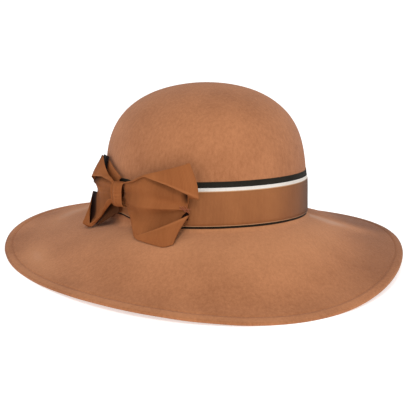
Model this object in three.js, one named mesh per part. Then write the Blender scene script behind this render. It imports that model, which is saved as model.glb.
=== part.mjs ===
// A wide brim hat of wool felt, with a band of three ribbons and a folded bow.
//
// Crown and brim are blocked from one piece of felt, with the brim's edge turned under as a hem. Round the
// foot of the crown lie a black, a cream and a brown ribbon. The bow sits on the wearer's right, a little
// forward of the side: two folded wings, drawn together by a knot.
//
// Millimetres. The hat is shaped in its own frame, with the break between crown and brim at height 0, the
// face towards -Y and the wearer's left towards +X. Then it is set on the floor, resting on its brim's edge.
import * as THREE from "three";

// Crown, at the outside of the felt
const CROWN_LENGTH = 201;
const CROWN_WIDTH = 171;
const CROWN_HEIGHT = 115;
const DOME_ROUNDNESS = 4.2; // 2 would be an ellipse, and more gives straighter sides
const WAIST_DEPTH = 1.4; // how far the band pulls the foot of the crown in
const WAIST_HEIGHT = 50;

// Brim
const BRIM_REACH = 90;
const BRIM_DROP = 60;
const BREAK_RADIUS = 4.5; // the bend between crown and brim
const BRIM_BELL = 0.3; // how much steeper the brim falls in its middle than at its ends
const HEM_WIDTH = 7.5;
const STITCH_DEPTH = 0.5; // how far the hem's seam sinks into the felt
const STITCH_WIDTH = 1.4;

// The brim's edge, going round from the wearer's left: how far it reaches out from the crown and how far it
// drops below the break, as shares of BRIM_REACH and BRIM_DROP. The rows are 45 degrees apart.
const BRIM_EDGE = [
  { facing: "left", reach: 1.02, drop: 0.44 },
  { facing: "left and back", reach: 1.06, drop: 0.315 },
  { facing: "back", reach: 1.015, drop: 0.145 },
  { facing: "right and back", reach: 1.075, drop: 0.205 },
  { facing: "right", reach: 0.955, drop: 0.57 },
  { facing: "right and front", reach: 0.88, drop: 0.825 },
  { facing: "front", reach: 0.855, drop: 1.035 },
  { facing: "left and front", reach: 0.86, drop: 0.83 },
];

// Felt
const FELT_THICKNESS = 2;
const HEM_THICKNESS = 3;
const SETTLE = 0.6; // how far the soft edge gives way where it meets the floor

// Ribbons of the band, as heights above the break
const GAP = 0.3; // clearance between neighbouring pieces
const RIBBON_THICKNESS = 1;
const BAND_FOOT = 4;
const BROWN_WIDTH = 28.5;
const CREAM_WIDTH = 2.7;
const BLACK_WIDTH = 4.8;
const BAND_LIFT = 6.8; // how far the bow pulls up the band's foot
const BAND_LIFT_SPREAD = 27;

// Bow
const BOW_TURN = 199.7; // where the knot sits, in degrees round from the wearer's left
const BOW_HEIGHT = 28; // the knot's middle above the break
const CLOTH = 1;
const WING_RISE = 34; // half the height of the wings
const WING_DEPTH = 20; // how far the wings stand out from the band
const FRONT_WING_REACH = 76;
const BACK_WING_REACH = 62;
const KNOT_WIDTH = 13.5;
const KNOT_RISE = 10.4; // half its height
const KNOT_DEPTH = 11;
const KNOT_PLEAT = 0.7; // the fold along its back side
const KNOT_FALL = 3.4; // how far its front side falls in towards the band

// The wings' folds, from the top of the cloth to its bottom. Each fold runs from the knot by way of the neck,
// the shoulder and the span to the outer end. A place holds the distance along the band, the height from the
// knot's middle and the distance out from the band, as shares of the wing's reach, WING_RISE and WING_DEPTH.
const FOLD_MARKS = [0, 0.2, 0.45, 0.72, 1]; // where the five places lie on the way from the knot to the end
const FRONT_WING = [
  {
    fold: "upper flap, free edge",
    knot: [0.1, 0.15, 0.37], neck: [0.25, 0.32, 0.5], shoulder: [0.42, 0.47, 0.7],
    span: [0.7, 0.242, 0.74], end: [0.99, -0.016, 0.6],
  },
  {
    fold: "upper flap",
    knot: [0.1, 0.185, 0.36], neck: [0.25, 0.355, 0.48], shoulder: [0.425, 0.505, 0.68],
    span: [0.72, 0.42, 0.76], end: [0.985, 0.38, 0.67],
  },
  {
    fold: "top fold",
    knot: [0.1, 0.21, 0.3], neck: [0.25, 0.385, 0.43], shoulder: [0.42, 0.54, 0.6],
    span: [0.68, 0.69, 0.62], end: [0.915, 0.84, 0.6],
  },
  {
    fold: "behind the upper flap",
    knot: [0.1, 0.185, 0.22], neck: [0.25, 0.34, 0.34], shoulder: [0.41, 0.48, 0.44],
    span: [0.66, 0.56, 0.4], end: [0.88, 0.7, 0.34],
  },
  {
    fold: "upper pleat",
    knot: [0.1, 0.12, 0.28], neck: [0.2, 0.22, 0.42], shoulder: [0.34, 0.27, 0.58],
    span: [0.6, 0.14, 0.55], end: [0.862, -0.03, 0.32],
  },
  {
    fold: "upper hollow",
    knot: [0.1, 0.03, 0.24], neck: [0.22, 0.03, 0.38], shoulder: [0.37, 0, 0.42],
    span: [0.6, -0.08, 0.38], end: [0.855, -0.2, 0.2],
  },
  {
    fold: "middle pleat",
    knot: [0.1, -0.06, 0.3], neck: [0.2, -0.16, 0.5], shoulder: [0.336, -0.239, 0.57],
    span: [0.576, -0.25, 0.54], end: [0.835, -0.27, 0.24],
  },
  {
    fold: "lower hollow",
    knot: [0.1, -0.12, 0.25], neck: [0.19, -0.33, 0.36], shoulder: [0.36, -0.48, 0.34],
    span: [0.6, -0.4, 0.26], end: [0.843, -0.31, 0.15],
  },
  {
    fold: "behind the lower flap",
    knot: [0.1, -0.17, 0.21], neck: [0.18, -0.45, 0.36], shoulder: [0.28, -0.74, 0.54],
    span: [0.56, -0.62, 0.36], end: [0.82, -0.46, 0.18],
  },
  {
    fold: "bottom fold",
    knot: [0.1, -0.21, 0.28], neck: [0.185, -0.62, 0.55], shoulder: [0.313, -0.985, 0.8],
    span: [0.669, -1.13, 1.03], end: [0.75, -1.072, 0.9],
  },
  {
    fold: "lower flap",
    knot: [0.1, -0.185, 0.35], neck: [0.198, -0.595, 0.61], shoulder: [0.33, -0.96, 0.86],
    span: [0.63, -0.85, 0.95], end: [0.79, -0.74, 0.6],
  },
  {
    fold: "lower flap, free edge",
    knot: [0.1, -0.15, 0.37], neck: [0.212, -0.565, 0.66], shoulder: [0.345, -0.93, 0.9],
    span: [0.6, -0.685, 0.7], end: [0.874, -0.398, 0.28],
  },
];
const BACK_WING = [
  {
    fold: "upper flap, free edge",
    knot: [0.11, 0.15, 0.35], neck: [0.2, 0.3, 0.4], shoulder: [0.484, 0.36, 0.42],
    span: [0.69, 0.33, 0.5], end: [0.903, 0.285, 0.59],
  },
  {
    fold: "upper flap",
    knot: [0.11, 0.185, 0.34], neck: [0.2, 0.33, 0.38], shoulder: [0.44, 0.42, 0.37],
    span: [0.63, 0.5, 0.4], end: [0.83, 0.56, 0.42],
  },
  {
    fold: "top fold",
    knot: [0.11, 0.21, 0.29], neck: [0.2, 0.355, 0.33], shoulder: [0.33, 0.42, 0.29],
    span: [0.52, 0.62, 0.25], end: [0.72, 0.85, 0.2],
  },
  {
    fold: "behind the upper flap",
    knot: [0.11, 0.18, 0.22], neck: [0.2, 0.28, 0.24], shoulder: [0.4, 0.32, 0.19],
    span: [0.56, 0.4, 0.16], end: [0.74, 0.5, 0.19],
  },
  {
    fold: "upper pleat",
    knot: [0.11, 0.12, 0.27], neck: [0.24, 0.19, 0.3], shoulder: [0.42, 0.2, 0.32],
    span: [0.65, 0.17, 0.38], end: [0.87, 0.16, 0.52],
  },
  {
    fold: "upper hollow",
    knot: [0.11, 0.03, 0.24], neck: [0.24, 0.08, 0.3], shoulder: [0.45, 0.05, 0.3],
    span: [0.64, 0.03, 0.3], end: [0.83, 0.06, 0.42],
  },
  {
    fold: "middle pleat",
    knot: [0.11, -0.04, 0.3], neck: [0.24, 0, 0.4], shoulder: [0.45, -0.03, 0.42],
    span: [0.65, -0.05, 0.4], end: [0.81, -0.03, 0.36],
  },
  {
    fold: "lower hollow",
    knot: [0.11, -0.12, 0.25], neck: [0.22, -0.12, 0.36], shoulder: [0.42, -0.18, 0.4],
    span: [0.6, -0.22, 0.42], end: [0.757, -0.22, 0.42],
  },
  {
    fold: "behind the lower flap",
    knot: [0.11, -0.17, 0.21], neck: [0.2, -0.2, 0.32], shoulder: [0.36, -0.36, 0.42],
    span: [0.54, -0.5, 0.52], end: [0.712, -0.53, 0.6],
  },
  {
    fold: "bottom fold",
    knot: [0.11, -0.21, 0.28], neck: [0.2, -0.25, 0.42], shoulder: [0.41, -0.53, 0.48],
    span: [0.59, -0.86, 0.74], end: [0.735, -0.965, 0.975],
  },
  {
    fold: "lower flap, corner",
    knot: [0.11, -0.19, 0.34], neck: [0.215, -0.225, 0.47], shoulder: [0.42, -0.49, 0.54],
    span: [0.66, -0.86, 0.84], end: [0.871, -0.9, 1.195],
  },
  {
    fold: "lower flap",
    knot: [0.11, -0.155, 0.36], neck: [0.22, -0.19, 0.5], shoulder: [0.43, -0.45, 0.57],
    span: [0.7, -0.83, 0.89], end: [0.9, -0.62, 0.82],
  },
  {
    fold: "lower flap, free edge",
    knot: [0.11, -0.12, 0.37], neck: [0.225, -0.15, 0.53], shoulder: [0.44, -0.41, 0.6],
    span: [0.75, -0.8, 0.93], end: [0.915, -0.105, 0.53],
  },
];

// The plain layer behind the folds, at four places from its top to its foot: near the outer end, and near the
// knot, where only the middle two run into the knot.
const FRONT_WING_BACKING = {
  outer: [[0.84, 0.62, 0.07], [0.85, 0.25, 0.07], [0.83, -0.15, 0.07], [0.78, -0.55, 0.07]],
  inner: [[0.14, 0.28, 0.09], [0.13, 0.2, 0.09], [0.13, -0.2, 0.09], [0.14, -0.36, 0.09]],
};
const BACK_WING_BACKING = {
  outer: [[0.7, 0.81, 0.06], [0.72, 0.3, 0.08], [0.7, -0.3, 0.2], [0.56, -0.88, 0.64]],
  inner: [[0.055, 0.39, 0.12], [0.12, 0.32, 0.12], [0.125, -0.25, 0.14], [0.12, -0.47, 0.18]],
};
const WING_TURN = 0.015; // how far the outer end bulges where the cloth turns back, as a share of the reach
const TUCK = 2.5; // how far the cloth runs into the knot

// How finely the curves are cut into flat faces
const SIDES = 60;
const DOME_RINGS = 13;
const BRIM_RINGS = 7;
const KNOT_SIDES = 22;
const KNOT_ROWS = 8;

const TURN = 2 * Math.PI;
const BAND_OUT = GAP + RIBBON_THICKNESS;
const mix = (a, b, share) => a + (b - a) * share;

// Crown and brim

// Smooth round curve through the eight values of a column of BRIM_EDGE.
function aroundBrim(column, turn) {
  const count = BRIM_EDGE.length;
  let sum = 0;
  for (let row = 0; row < count; row++) {
    const away = turn - (TURN * row) / count;
    let weight = 1 + Math.cos((count / 2) * away);
    for (let order = 1; order < count / 2; order++) weight += 2 * Math.cos(order * away);
    sum += (BRIM_EDGE[row][column] * weight) / count;
  }
  return sum;
}

// Horizontal direction straight out from the crown.
function outwards(turn) {
  return new THREE.Vector3(Math.cos(turn) / CROWN_WIDTH, Math.sin(turn) / CROWN_LENGTH, 0).normalize();
}

// Point on the outside of the crown, moved straight out by a distance. Below the break the foot's oval holds.
function onCrown(turn, height, out = 0) {
  const above = Math.max(height, 0);
  const share = Math.sqrt(Math.max(0, 1 - (above / CROWN_HEIGHT) ** DOME_ROUNDNESS));
  const waist = WAIST_DEPTH * Math.max(0, 1 - above / WAIST_HEIGHT) ** 2;
  const across = (CROWN_WIDTH / 2) * share - waist;
  const along = (CROWN_LENGTH / 2) * share - waist;
  return new THREE.Vector3(across * Math.cos(turn), along * Math.sin(turn), height).addScaledVector(
    outwards(turn),
    out,
  );
}

// Height of the brim's upper side at a distance out from the crown, before the break is rounded.
function brimHeight(turn, out) {
  const reach = BRIM_REACH * aroundBrim("reach", turn);
  const drop = BRIM_DROP * aroundBrim("drop", turn);
  const share = out / reach;
  return -drop * (share - (BRIM_BELL / TURN) * Math.sin(TURN * share));
}

// Outer skin of the felt. The station runs from 0 at the tip of the dome over 1 at its foot and 2 past the
// break to 3 at the brim's edge.
function feltSkin(turn, station) {
  if (station <= 1) {
    const angle = (station * Math.PI) / 2;
    const height = mix(BREAK_RADIUS, CROWN_HEIGHT, Math.cos(angle) ** 1.2);
    return onCrown(turn, height);
  }
  const foot = brimHeight(turn, BREAK_RADIUS);
  if (station <= 2) {
    const share = station - 1;
    const corner = 2 * brimHeight(turn, BREAK_RADIUS / 2) - foot;
    const out = BREAK_RADIUS * share ** 2;
    const height = BREAK_RADIUS * (1 - share) ** 2 + 2 * share * (1 - share) * corner + share ** 2 * foot;
    return onCrown(turn, 0, out).setZ(height);
  }
  const reach = BRIM_REACH * aroundBrim("reach", turn);
  const out = mix(BREAK_RADIUS, reach, station - 2);
  const seam = Math.abs(reach - out - HEM_WIDTH) / STITCH_WIDTH;
  const dent = STITCH_DEPTH * Math.max(0, 1 - seam);
  return onCrown(turn, 0, out).setZ(brimHeight(turn, out) - dent);
}

// Point at a depth under the outer skin, square to it.
function inFelt(turn, station, depth) {
  const step = 1e-3;
  const here = feltSkin(turn, station);
  if (station === 0) return here.setZ(here.z - depth);
  const round = feltSkin(turn + step, station).sub(feltSkin(turn - step, station));
  const down = feltSkin(turn, Math.min(station + step, 3)).sub(feltSkin(turn, station - step));
  return here.addScaledVector(down.cross(round).normalize(), -depth);
}

// Closed mesh over rings of points. A ring of one point closes an end, and without one the rings form a loop.
function closedSkin(rings) {
  const points = [];
  const starts = rings.map((ring) => {
    const start = points.length;
    points.push(...ring);
    return start;
  });
  const faces = [];
  const looped = rings[0].length > 1;
  const bands = looped ? rings.length : rings.length - 1;
  for (let k = 0; k < bands; k++) {
    const next = (k + 1) % rings.length;
    const [a, b] = [starts[k], starts[next]];
    const sides = Math.max(rings[k].length, rings[next].length);
    for (let i = 0; i < sides; i++) {
      const j = (i + 1) % sides;
      if (rings[k].length === 1) faces.push([a, b + j, b + i]);
      else if (rings[next].length === 1) faces.push([a + i, a + j, b]);
      else faces.push([a + i, a + j, b + j], [a + i, b + j, b + i]);
    }
  }
  return solidGeometry(points, faces);
}

// Geometry with its faces turned outwards.
function solidGeometry(points, faces) {
  let volume = 0;
  for (const [a, b, c] of faces) volume += points[a].dot(points[b].clone().cross(points[c]));
  const outward = volume > 0 ? faces : faces.map(([a, b, c]) => [a, c, b]);
  const geometry = new THREE.BufferGeometry().setFromPoints(points);
  geometry.setIndex(outward.flat());
  geometry.computeVertexNormals();
  return geometry;
}

const turns = Array.from({ length: SIDES }, (_, i) => (TURN * i) / SIDES);
const ringAt = (station, depth) => turns.map((turn) => inFelt(turn, station, depth));

// Stations of the brim, with the hem's seam and edge at their real distances from the edge.
function hemStation(fromEdge) {
  return 3 - fromEdge / (BRIM_REACH - BREAK_RADIUS);
}

// The plane that the hat stands on: three points of the edge with every other point above them and the
// hat's balance between them.
function floorUnder(edge, balance) {
  for (let a = 0; a < edge.length; a++)
    for (let b = a + 1; b < edge.length; b++)
      for (let c = b + 1; c < edge.length; c++) {
        const plane = new THREE.Plane().setFromCoplanarPoints(edge[a], edge[b], edge[c]);
        if (plane.normal.z < 0) plane.negate();
        if (edge.some((point) => plane.distanceToPoint(point) < -1e-6)) continue;
        const foot = plane.projectPoint(balance, new THREE.Vector3());
        if (new THREE.Triangle(edge[a], edge[b], edge[c]).containsPoint(foot)) return plane;
      }
  throw new Error("the brim's edge has no three points to stand on");
}

function feltBody() {
  const dome = Array.from({ length: DOME_RINGS - 1 }, (_, k) => (k + 1) / DOME_RINGS);
  const breakBend = [1, 1.35, 1.7, 2];
  const brim = Array.from({ length: BRIM_RINGS - 1 }, (_, k) => 2 + (k + 1) / BRIM_RINGS);
  const flatBrim = brim.filter((station) => station < hemStation(2 * HEM_WIDTH));
  const upperSide = [...dome, ...breakBend, ...flatBrim];
  const seam = [HEM_WIDTH + STITCH_WIDTH, HEM_WIDTH, HEM_WIDTH - STITCH_WIDTH].map(hemStation);
  const rimRound = HEM_THICKNESS / 2;
  const rings = [
    [inFelt(0, 0, 0)],
    ...upperSide.map((station) => ringAt(station, 0)),
    ...seam.map((station) => ringAt(station, 0)),
    ringAt(hemStation(rimRound), 0),
    ringAt(hemStation(0.15 * rimRound), 0.25 * HEM_THICKNESS),
    ringAt(hemStation(0), 0.5 * HEM_THICKNESS),
    ringAt(hemStation(0.15 * rimRound), 0.75 * HEM_THICKNESS),
    ringAt(hemStation(rimRound), HEM_THICKNESS),
    ringAt(seam[2], HEM_THICKNESS),
    ringAt(seam[0], FELT_THICKNESS),
    ...upperSide.reverse().map((station) => ringAt(station, FELT_THICKNESS)),
    [inFelt(0, 0, FELT_THICKNESS)],
  ];
  return rings;
}

const feltRings = feltBody();
const lowestSide = feltRings.flat().filter((point) => point.z < -BRIM_DROP / 20);
const rim = ringAt(hemStation(0.15 * (HEM_THICKNESS / 2)), 0.75 * HEM_THICKNESS);
const floor = floorUnder(rim, new THREE.Vector3(0, 0, CROWN_HEIGHT / 4));
floor.constant -= SETTLE;
for (const point of lowestSide) {
  const below = -floor.distanceToPoint(point);
  if (below > 0) point.addScaledVector(floor.normal, below);
}

// Band

// Angle round the crown at a distance along the band from the knot.
const bandSteps = 1440;
const bandLengths = [0];
for (let k = 1; k <= bandSteps; k++) {
  const [a, b] = [k - 1, k].map((step) => onCrown((TURN * step) / bandSteps, BOW_HEIGHT, BAND_OUT));
  bandLengths.push(bandLengths[k - 1] + a.distanceTo(b));
}
const knotStep = Math.round((BOW_TURN / 360) * bandSteps);
function turnAt(along) {
  const wanted = bandLengths[knotStep] + along;
  let step = 0;
  while (bandLengths[step + 1] < wanted) step++;
  const share = (wanted - bandLengths[step]) / (bandLengths[step + 1] - bandLengths[step]);
  return (TURN * (step + share)) / bandSteps;
}

// How far the bow pulls up the band's foot at an angle round the crown. It pulls most behind the knot.
function footLift(turn) {
  const along = bandLengths[Math.round((turn / TURN) * bandSteps)] - bandLengths[knotStep];
  return BAND_LIFT * Math.exp(-(((along + 0.6 * BAND_LIFT_SPREAD) / BAND_LIFT_SPREAD) ** 2));
}

// A ribbon lying round the crown between two heights. The bow pulls up the foot of the lowest one.
function ribbonRing(low, high, rows, pulled = 0) {
  const side = (out) =>
    Array.from({ length: rows + 1 }, (_, k) =>
      turns.map((turn) => onCrown(turn, mix(low + pulled * footLift(turn), high, k / rows), out)),
    );
  return closedSkin([...side(GAP + RIBBON_THICKNESS), ...side(GAP).reverse()]);
}

// Bow

const onBow = (along, rise, out) => onCrown(turnAt(along), BOW_HEIGHT + rise, BAND_OUT + out);

// One fold of a wing at a share of the way from the knot to the outer end.
function foldPoint({ knot, neck, shoulder, span, end }, way) {
  const places = [knot, neck, shoulder, span, end];
  let leg = 0;
  while (leg < FOLD_MARKS.length - 2 && way > FOLD_MARKS[leg + 1]) leg++;
  const share = (way - FOLD_MARKS[leg]) / (FOLD_MARKS[leg + 1] - FOLD_MARKS[leg]);
  return places[leg].map((from, axis) => mix(from, places[leg + 1][axis], share));
}

// Solid of a sheet of cloth, from its middle surface. Every edge that only one face uses gets a side wall.
function clothSolid(points, quads) {
  const sheet = quads.flatMap(([a, b, c, d]) => [
    [a, b, c],
    [a, c, d],
  ]);
  const normals = points.map(() => new THREE.Vector3());
  for (const [a, b, c] of sheet) {
    const across = points[b].clone().sub(points[a]);
    const face = across.cross(points[c].clone().sub(points[a]));
    for (const corner of [a, b, c]) normals[corner].add(face);
  }
  const half = CLOTH / 2;
  const front = points.map((point, i) => point.clone().addScaledVector(normals[i].normalize(), half));
  const back = points.map((point, i) => point.clone().addScaledVector(normals[i], -half));
  const shift = points.length;
  const faces = sheet.flatMap(([a, b, c]) => [
    [a, b, c],
    [a + shift, c + shift, b + shift],
  ]);
  const edges = new Map();
  for (const [a, b, c] of sheet)
    for (const [from, to] of [
      [a, b],
      [b, c],
      [c, a],
    ]) {
      if (edges.has(`${to},${from}`)) edges.delete(`${to},${from}`);
      else edges.set(`${from},${to}`, [from, to]);
    }
  for (const [from, to] of edges.values())
    faces.push([from, from + shift, to + shift], [from, to + shift, to]);
  return solidGeometry([...front, ...back], faces);
}

// A wing: the folded front layer, a turn at the outer end, and a plain layer that runs back behind it. Only
// the folds between the two flaps go on into the turn, so the flaps are free at their ends.
function wing(folds, backing, reach, side) {
  const place = ([along, rise, out]) => onBow(side * along * reach, rise * WING_RISE, out * WING_DEPTH);
  const points = [];
  const quads = [];
  const grid = (rows) => {
    for (let k = 1; k < rows.length; k++)
      for (let i = 1; i < rows[k].length; i++)
        quads.push([rows[k - 1][i - 1], rows[k][i - 1], rows[k][i], rows[k - 1][i]]);
  };
  const row = (places) => places.map((at) => points.push(place(at)) - 1);
  const tucked = ([along, rise, out]) => [along - TUCK / reach, rise, out];
  const ways = FOLD_MARKS.flatMap((mark, k) => (k ? [(FOLD_MARKS[k - 1] + mark) / 2, mark] : [mark]));
  const front = [
    row(folds.map((fold) => tucked(foldPoint(fold, 0)))),
    ...ways.map((way) => row(folds.map((fold) => foldPoint(fold, way)))),
  ];
  grid(front);
  const first = folds.findIndex(({ fold }) => fold === "upper pleat");
  const last = folds.findIndex(({ fold }) => fold === "lower hollow");
  const turned = folds.slice(first, last + 1).map(({ end }) => end);
  const { outer } = backing;
  const backRows = [0, 0.25, 0.5, 0.75].map((way) =>
    row(outer.map((at, i) => at.map((value, axis) => mix(value, backing.inner[i][axis], way)))),
  );
  const bulge = turned.map(([along, rise, out], i) => [
    along + WING_TURN,
    mix(rise, outer[i][1], 0.5),
    mix(out, outer[i][2], 0.5),
  ]);
  const inner = row(backing.inner);
  grid([front.at(-1).slice(first, last + 1), row(bulge), ...backRows, inner]);
  const atKnot = [0.17, -0.17].map((rise) => [folds[0].knot[0], rise, 0.14]);
  grid([inner.slice(1, 3), row(atKnot), row(atKnot.map(tucked))]);
  return clothSolid(points, quads);
}

// The knot: a band of cloth round the necks of the wings, with soft pleats along it.
function knot() {
  const rings = [];
  const middle = GAP + CLOTH + (KNOT_DEPTH - GAP - CLOTH) / 2;
  for (let k = 0; k <= KNOT_ROWS; k++) {
    const across = k / KNOT_ROWS - 0.5;
    const pleat = KNOT_PLEAT * Math.exp(-(((across + 0.42) / 0.07) ** 2));
    const round = 1.4 - 5 * (across + 0.05) ** 2 - KNOT_FALL * Math.max(0, across) ** 2 * 2.6;
    rings.push({ along: across * KNOT_WIDTH + 0.6, swell: pleat + round });
  }
  const loop = (along, swell, inset) =>
    Array.from({ length: KNOT_SIDES }, (_, i) => {
      const angle = (TURN * i) / KNOT_SIDES;
      const squarer = (x) => Math.sign(x) * Math.abs(x) ** 0.6;
      const lift = Math.cos(angle) > 0 ? swell : 0;
      const out = middle + (middle - GAP - inset + lift) * squarer(Math.cos(angle));
      return onBow(along, (KNOT_RISE - inset) * squarer(Math.sin(angle)), out);
    });
  const outer = rings.map(({ along, swell }) => loop(along, swell, 0));
  const inner = rings.map(({ along, swell }) => loop(along, swell, CLOTH));
  return closedSkin([...outer, ...inner.reverse()]);
}

// Assembly

const felt = new THREE.MeshStandardMaterial({ color: 0xb57a52, roughness: 0.95, metalness: 0 });
const brown = new THREE.MeshStandardMaterial({ color: 0x9d6238, roughness: 0.6, metalness: 0 });
const cream = new THREE.MeshStandardMaterial({ color: 0xe8d5c7, roughness: 0.65, metalness: 0 });
const black = new THREE.MeshStandardMaterial({ color: 0x1d1f1f, roughness: 0.65, metalness: 0 });

const hat = new THREE.Group();
function add(parent, name, geometry, material) {
  const mesh = new THREE.Mesh(geometry, material);
  mesh.name = name;
  parent.add(mesh);
}

const creamFoot = BAND_FOOT + BROWN_WIDTH;
const blackFoot = creamFoot + CREAM_WIDTH;
const band = new THREE.Group();
add(band, "band_brown_ribbon", ribbonRing(BAND_FOOT, creamFoot - GAP, 4, 1), brown);
add(band, "band_cream_ribbon", ribbonRing(creamFoot, blackFoot - GAP, 1), cream);
add(band, "band_black_ribbon", ribbonRing(blackFoot, blackFoot + BLACK_WIDTH, 1), black);

const bow = new THREE.Group();
add(bow, "bow_front_wing", wing(FRONT_WING, FRONT_WING_BACKING, FRONT_WING_REACH, 1), brown);
add(bow, "bow_back_wing", wing(BACK_WING, BACK_WING_BACKING, BACK_WING_REACH, -1), brown);
add(bow, "bow_knot", knot(), brown);

add(hat, "felt_crown_and_brim", closedSkin(feltRings), felt);
hat.add(band, bow);

// The hat leans back on its brim, so its own frame is turned until the floor lies level, and the middle of
// its outline comes over the origin.
hat.quaternion.setFromUnitVectors(floor.normal, new THREE.Vector3(0, 0, 1));
hat.updateMatrixWorld(true);
const outline = new THREE.Box3().setFromObject(hat, true);
const centre = outline.getCenter(new THREE.Vector3());
hat.position.set(-centre.x, -centre.y, -outline.min.z);

const part = new THREE.Group();
part.add(hat);
export default part;
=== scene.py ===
from math import pi, radians, tau

import bpy
import numpy as np
from mathutils import Matrix, Vector


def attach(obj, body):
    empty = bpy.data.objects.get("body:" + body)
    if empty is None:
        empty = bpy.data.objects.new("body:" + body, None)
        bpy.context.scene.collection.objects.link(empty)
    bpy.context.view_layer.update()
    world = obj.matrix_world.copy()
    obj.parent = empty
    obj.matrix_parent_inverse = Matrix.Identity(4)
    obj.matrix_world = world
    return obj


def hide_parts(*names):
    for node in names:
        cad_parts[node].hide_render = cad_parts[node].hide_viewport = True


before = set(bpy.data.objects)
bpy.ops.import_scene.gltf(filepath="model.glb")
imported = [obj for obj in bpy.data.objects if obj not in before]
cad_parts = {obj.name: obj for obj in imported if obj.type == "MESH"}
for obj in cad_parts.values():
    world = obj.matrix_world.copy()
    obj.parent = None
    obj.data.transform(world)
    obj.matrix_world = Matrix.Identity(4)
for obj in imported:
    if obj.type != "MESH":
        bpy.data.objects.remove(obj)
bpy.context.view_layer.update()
scene = bpy.context.scene

# Where the hat stands, and the view of it
#
# The hat leans back on three stretches of its brim. Its pieces are shaped in the hat's own frame and then
# set down. In that frame the break between crown and brim is at height 0, the wearer's face is towards -Y
# and the wearer's left towards +X.
floor_normal = Vector((0.019038, -0.139123, 0.990092))
set_down = np.array(floor_normal.rotation_difference(Vector((0, 0, 1))).to_matrix())
hat_place = np.array((-0.003469, -0.002291, 0.038592))

camera = bpy.data.objects.new("camera", bpy.data.cameras.new("camera"))
scene.collection.objects.link(camera)
camera.data.lens = 120.94
camera.data.sensor_width = 36
camera.data.clip_end = 20
camera.data.shift_y = -0.0015
camera_right = Vector((0.94215943, -0.33324619, 0.03581327))
camera_up = Vector((0.05223543, 0.25154175, 0.96643583))
camera_back = Vector((-0.33106959, -0.9086659, 0.25439969))
camera.matrix_world = Matrix.Translation((-0.402066, -1.089213, 0.352629)) @ Matrix(
    (camera_right, camera_up, camera_back)
).transposed().to_4x4()
scene.camera = camera

# Felt crown and brim
#
# One cone of wool felt, blocked over a round crown and ironed out into a wide brim that droops in front and
# at the wearer's right. Its edge is turned under and stitched down, which leaves a thin groove round the
# brim.
CROWN_LENGTH, CROWN_WIDTH, CROWN_HEIGHT = 0.201, 0.171, 0.115
DOME_ROUNDNESS = 4.2
WAIST_DEPTH, WAIST_HEIGHT = 0.0014, 0.050
BRIM_REACH, BRIM_DROP = 0.090, 0.060
BREAK_RADIUS, BRIM_BELL = 0.0045, 0.3
FELT_THICKNESS, HEM_THICKNESS, HEM_WIDTH = 0.002, 0.003, 0.0075
GROOVE_DEPTH, GROOVE_SPREAD, HEM_PUFF = 0.0006, 0.0009, 0.0003
# Eight places round the brim's edge from the wearer's left by way of the back, 45 degrees apart.
REACH_SHARES = (1.04, 1.06, 1.015, 1.085, 0.955, 0.88, 0.855, 0.86)
DROP_SHARES = (0.46, 0.315, 0.145, 0.205, 0.57, 0.80, 1.035, 0.82)


def swell(value, middle, spread):
    """A smooth rise to 1 at a middle value."""
    return np.exp(-(((value - middle) / spread) ** 2))


def fade(value, start, stop):
    """0 on the start's side, 1 on the stop's side, and even steps between."""
    return np.clip((value - start) / (stop - start), 0, 1)


def around_brim(shares, turn):
    """A smooth curve round the brim through the shares at its eight places."""
    total = 0
    for row, share in enumerate(shares):
        away = turn - tau * row / 8
        weight = 1 + np.cos(4 * away) + 2 * (np.cos(away) + np.cos(2 * away) + np.cos(3 * away))
        total = total + share * weight / 8
    return total


def on_crown(turn, height, out=0.0):
    """Points on the outside of the crown, moved straight out by a distance."""
    turn, height, out = np.broadcast_arrays(turn, height, out)
    above = np.clip(height, 0, None)
    share = np.sqrt(np.clip(1 - (above / CROWN_HEIGHT) ** DOME_ROUNDNESS, 0, None))
    waist = WAIST_DEPTH * np.clip(1 - above / WAIST_HEIGHT, 0, None) ** 2
    outward = np.stack((np.cos(turn) / CROWN_WIDTH, np.sin(turn) / CROWN_LENGTH), -1)
    outward /= np.linalg.norm(outward, axis=-1, keepdims=True)
    across = (CROWN_WIDTH / 2 * share - waist) * np.cos(turn) + out * outward[..., 0]
    along = (CROWN_LENGTH / 2 * share - waist) * np.sin(turn) + out * outward[..., 1]
    return np.stack((across, along, height), -1)


def brim_height(turn, out):
    share = out / (BRIM_REACH * around_brim(REACH_SHARES, turn))
    return -BRIM_DROP * around_brim(DROP_SHARES, turn) * (share - BRIM_BELL / tau * np.sin(tau * share))


def felt_skin(turn, station, from_edge=0.0):
    """Outer skin: station 0 is the tip of the dome, 1 its foot, 2 past the break, and 3 the brim's edge."""
    if station <= 1:
        height = BREAK_RADIUS + (CROWN_HEIGHT - BREAK_RADIUS) * np.cos(station * pi / 2) ** 1.2
        return on_crown(turn, height)
    foot = brim_height(turn, BREAK_RADIUS)
    if station <= 2:
        share = station - 1
        corner = 2 * brim_height(turn, BREAK_RADIUS / 2) - foot
        points = on_crown(turn, 0.0, BREAK_RADIUS * share**2)
        points[..., 2] = BREAK_RADIUS * (1 - share) ** 2 + 2 * share * (1 - share) * corner + share**2 * foot
        return points
    reach = BRIM_REACH * around_brim(REACH_SHARES, turn)
    out = BREAK_RADIUS + (reach - BREAK_RADIUS) * (station - 2) - from_edge
    points = on_crown(turn, 0.0, out)
    groove = swell(reach - out, HEM_WIDTH, GROOVE_SPREAD)
    puff = np.clip(1 - ((reach - out) / HEM_WIDTH * 2 - 1) ** 2, 0, 1)
    points[..., 2] = brim_height(turn, out) - GROOVE_DEPTH * groove + HEM_PUFF * puff
    return points


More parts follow.
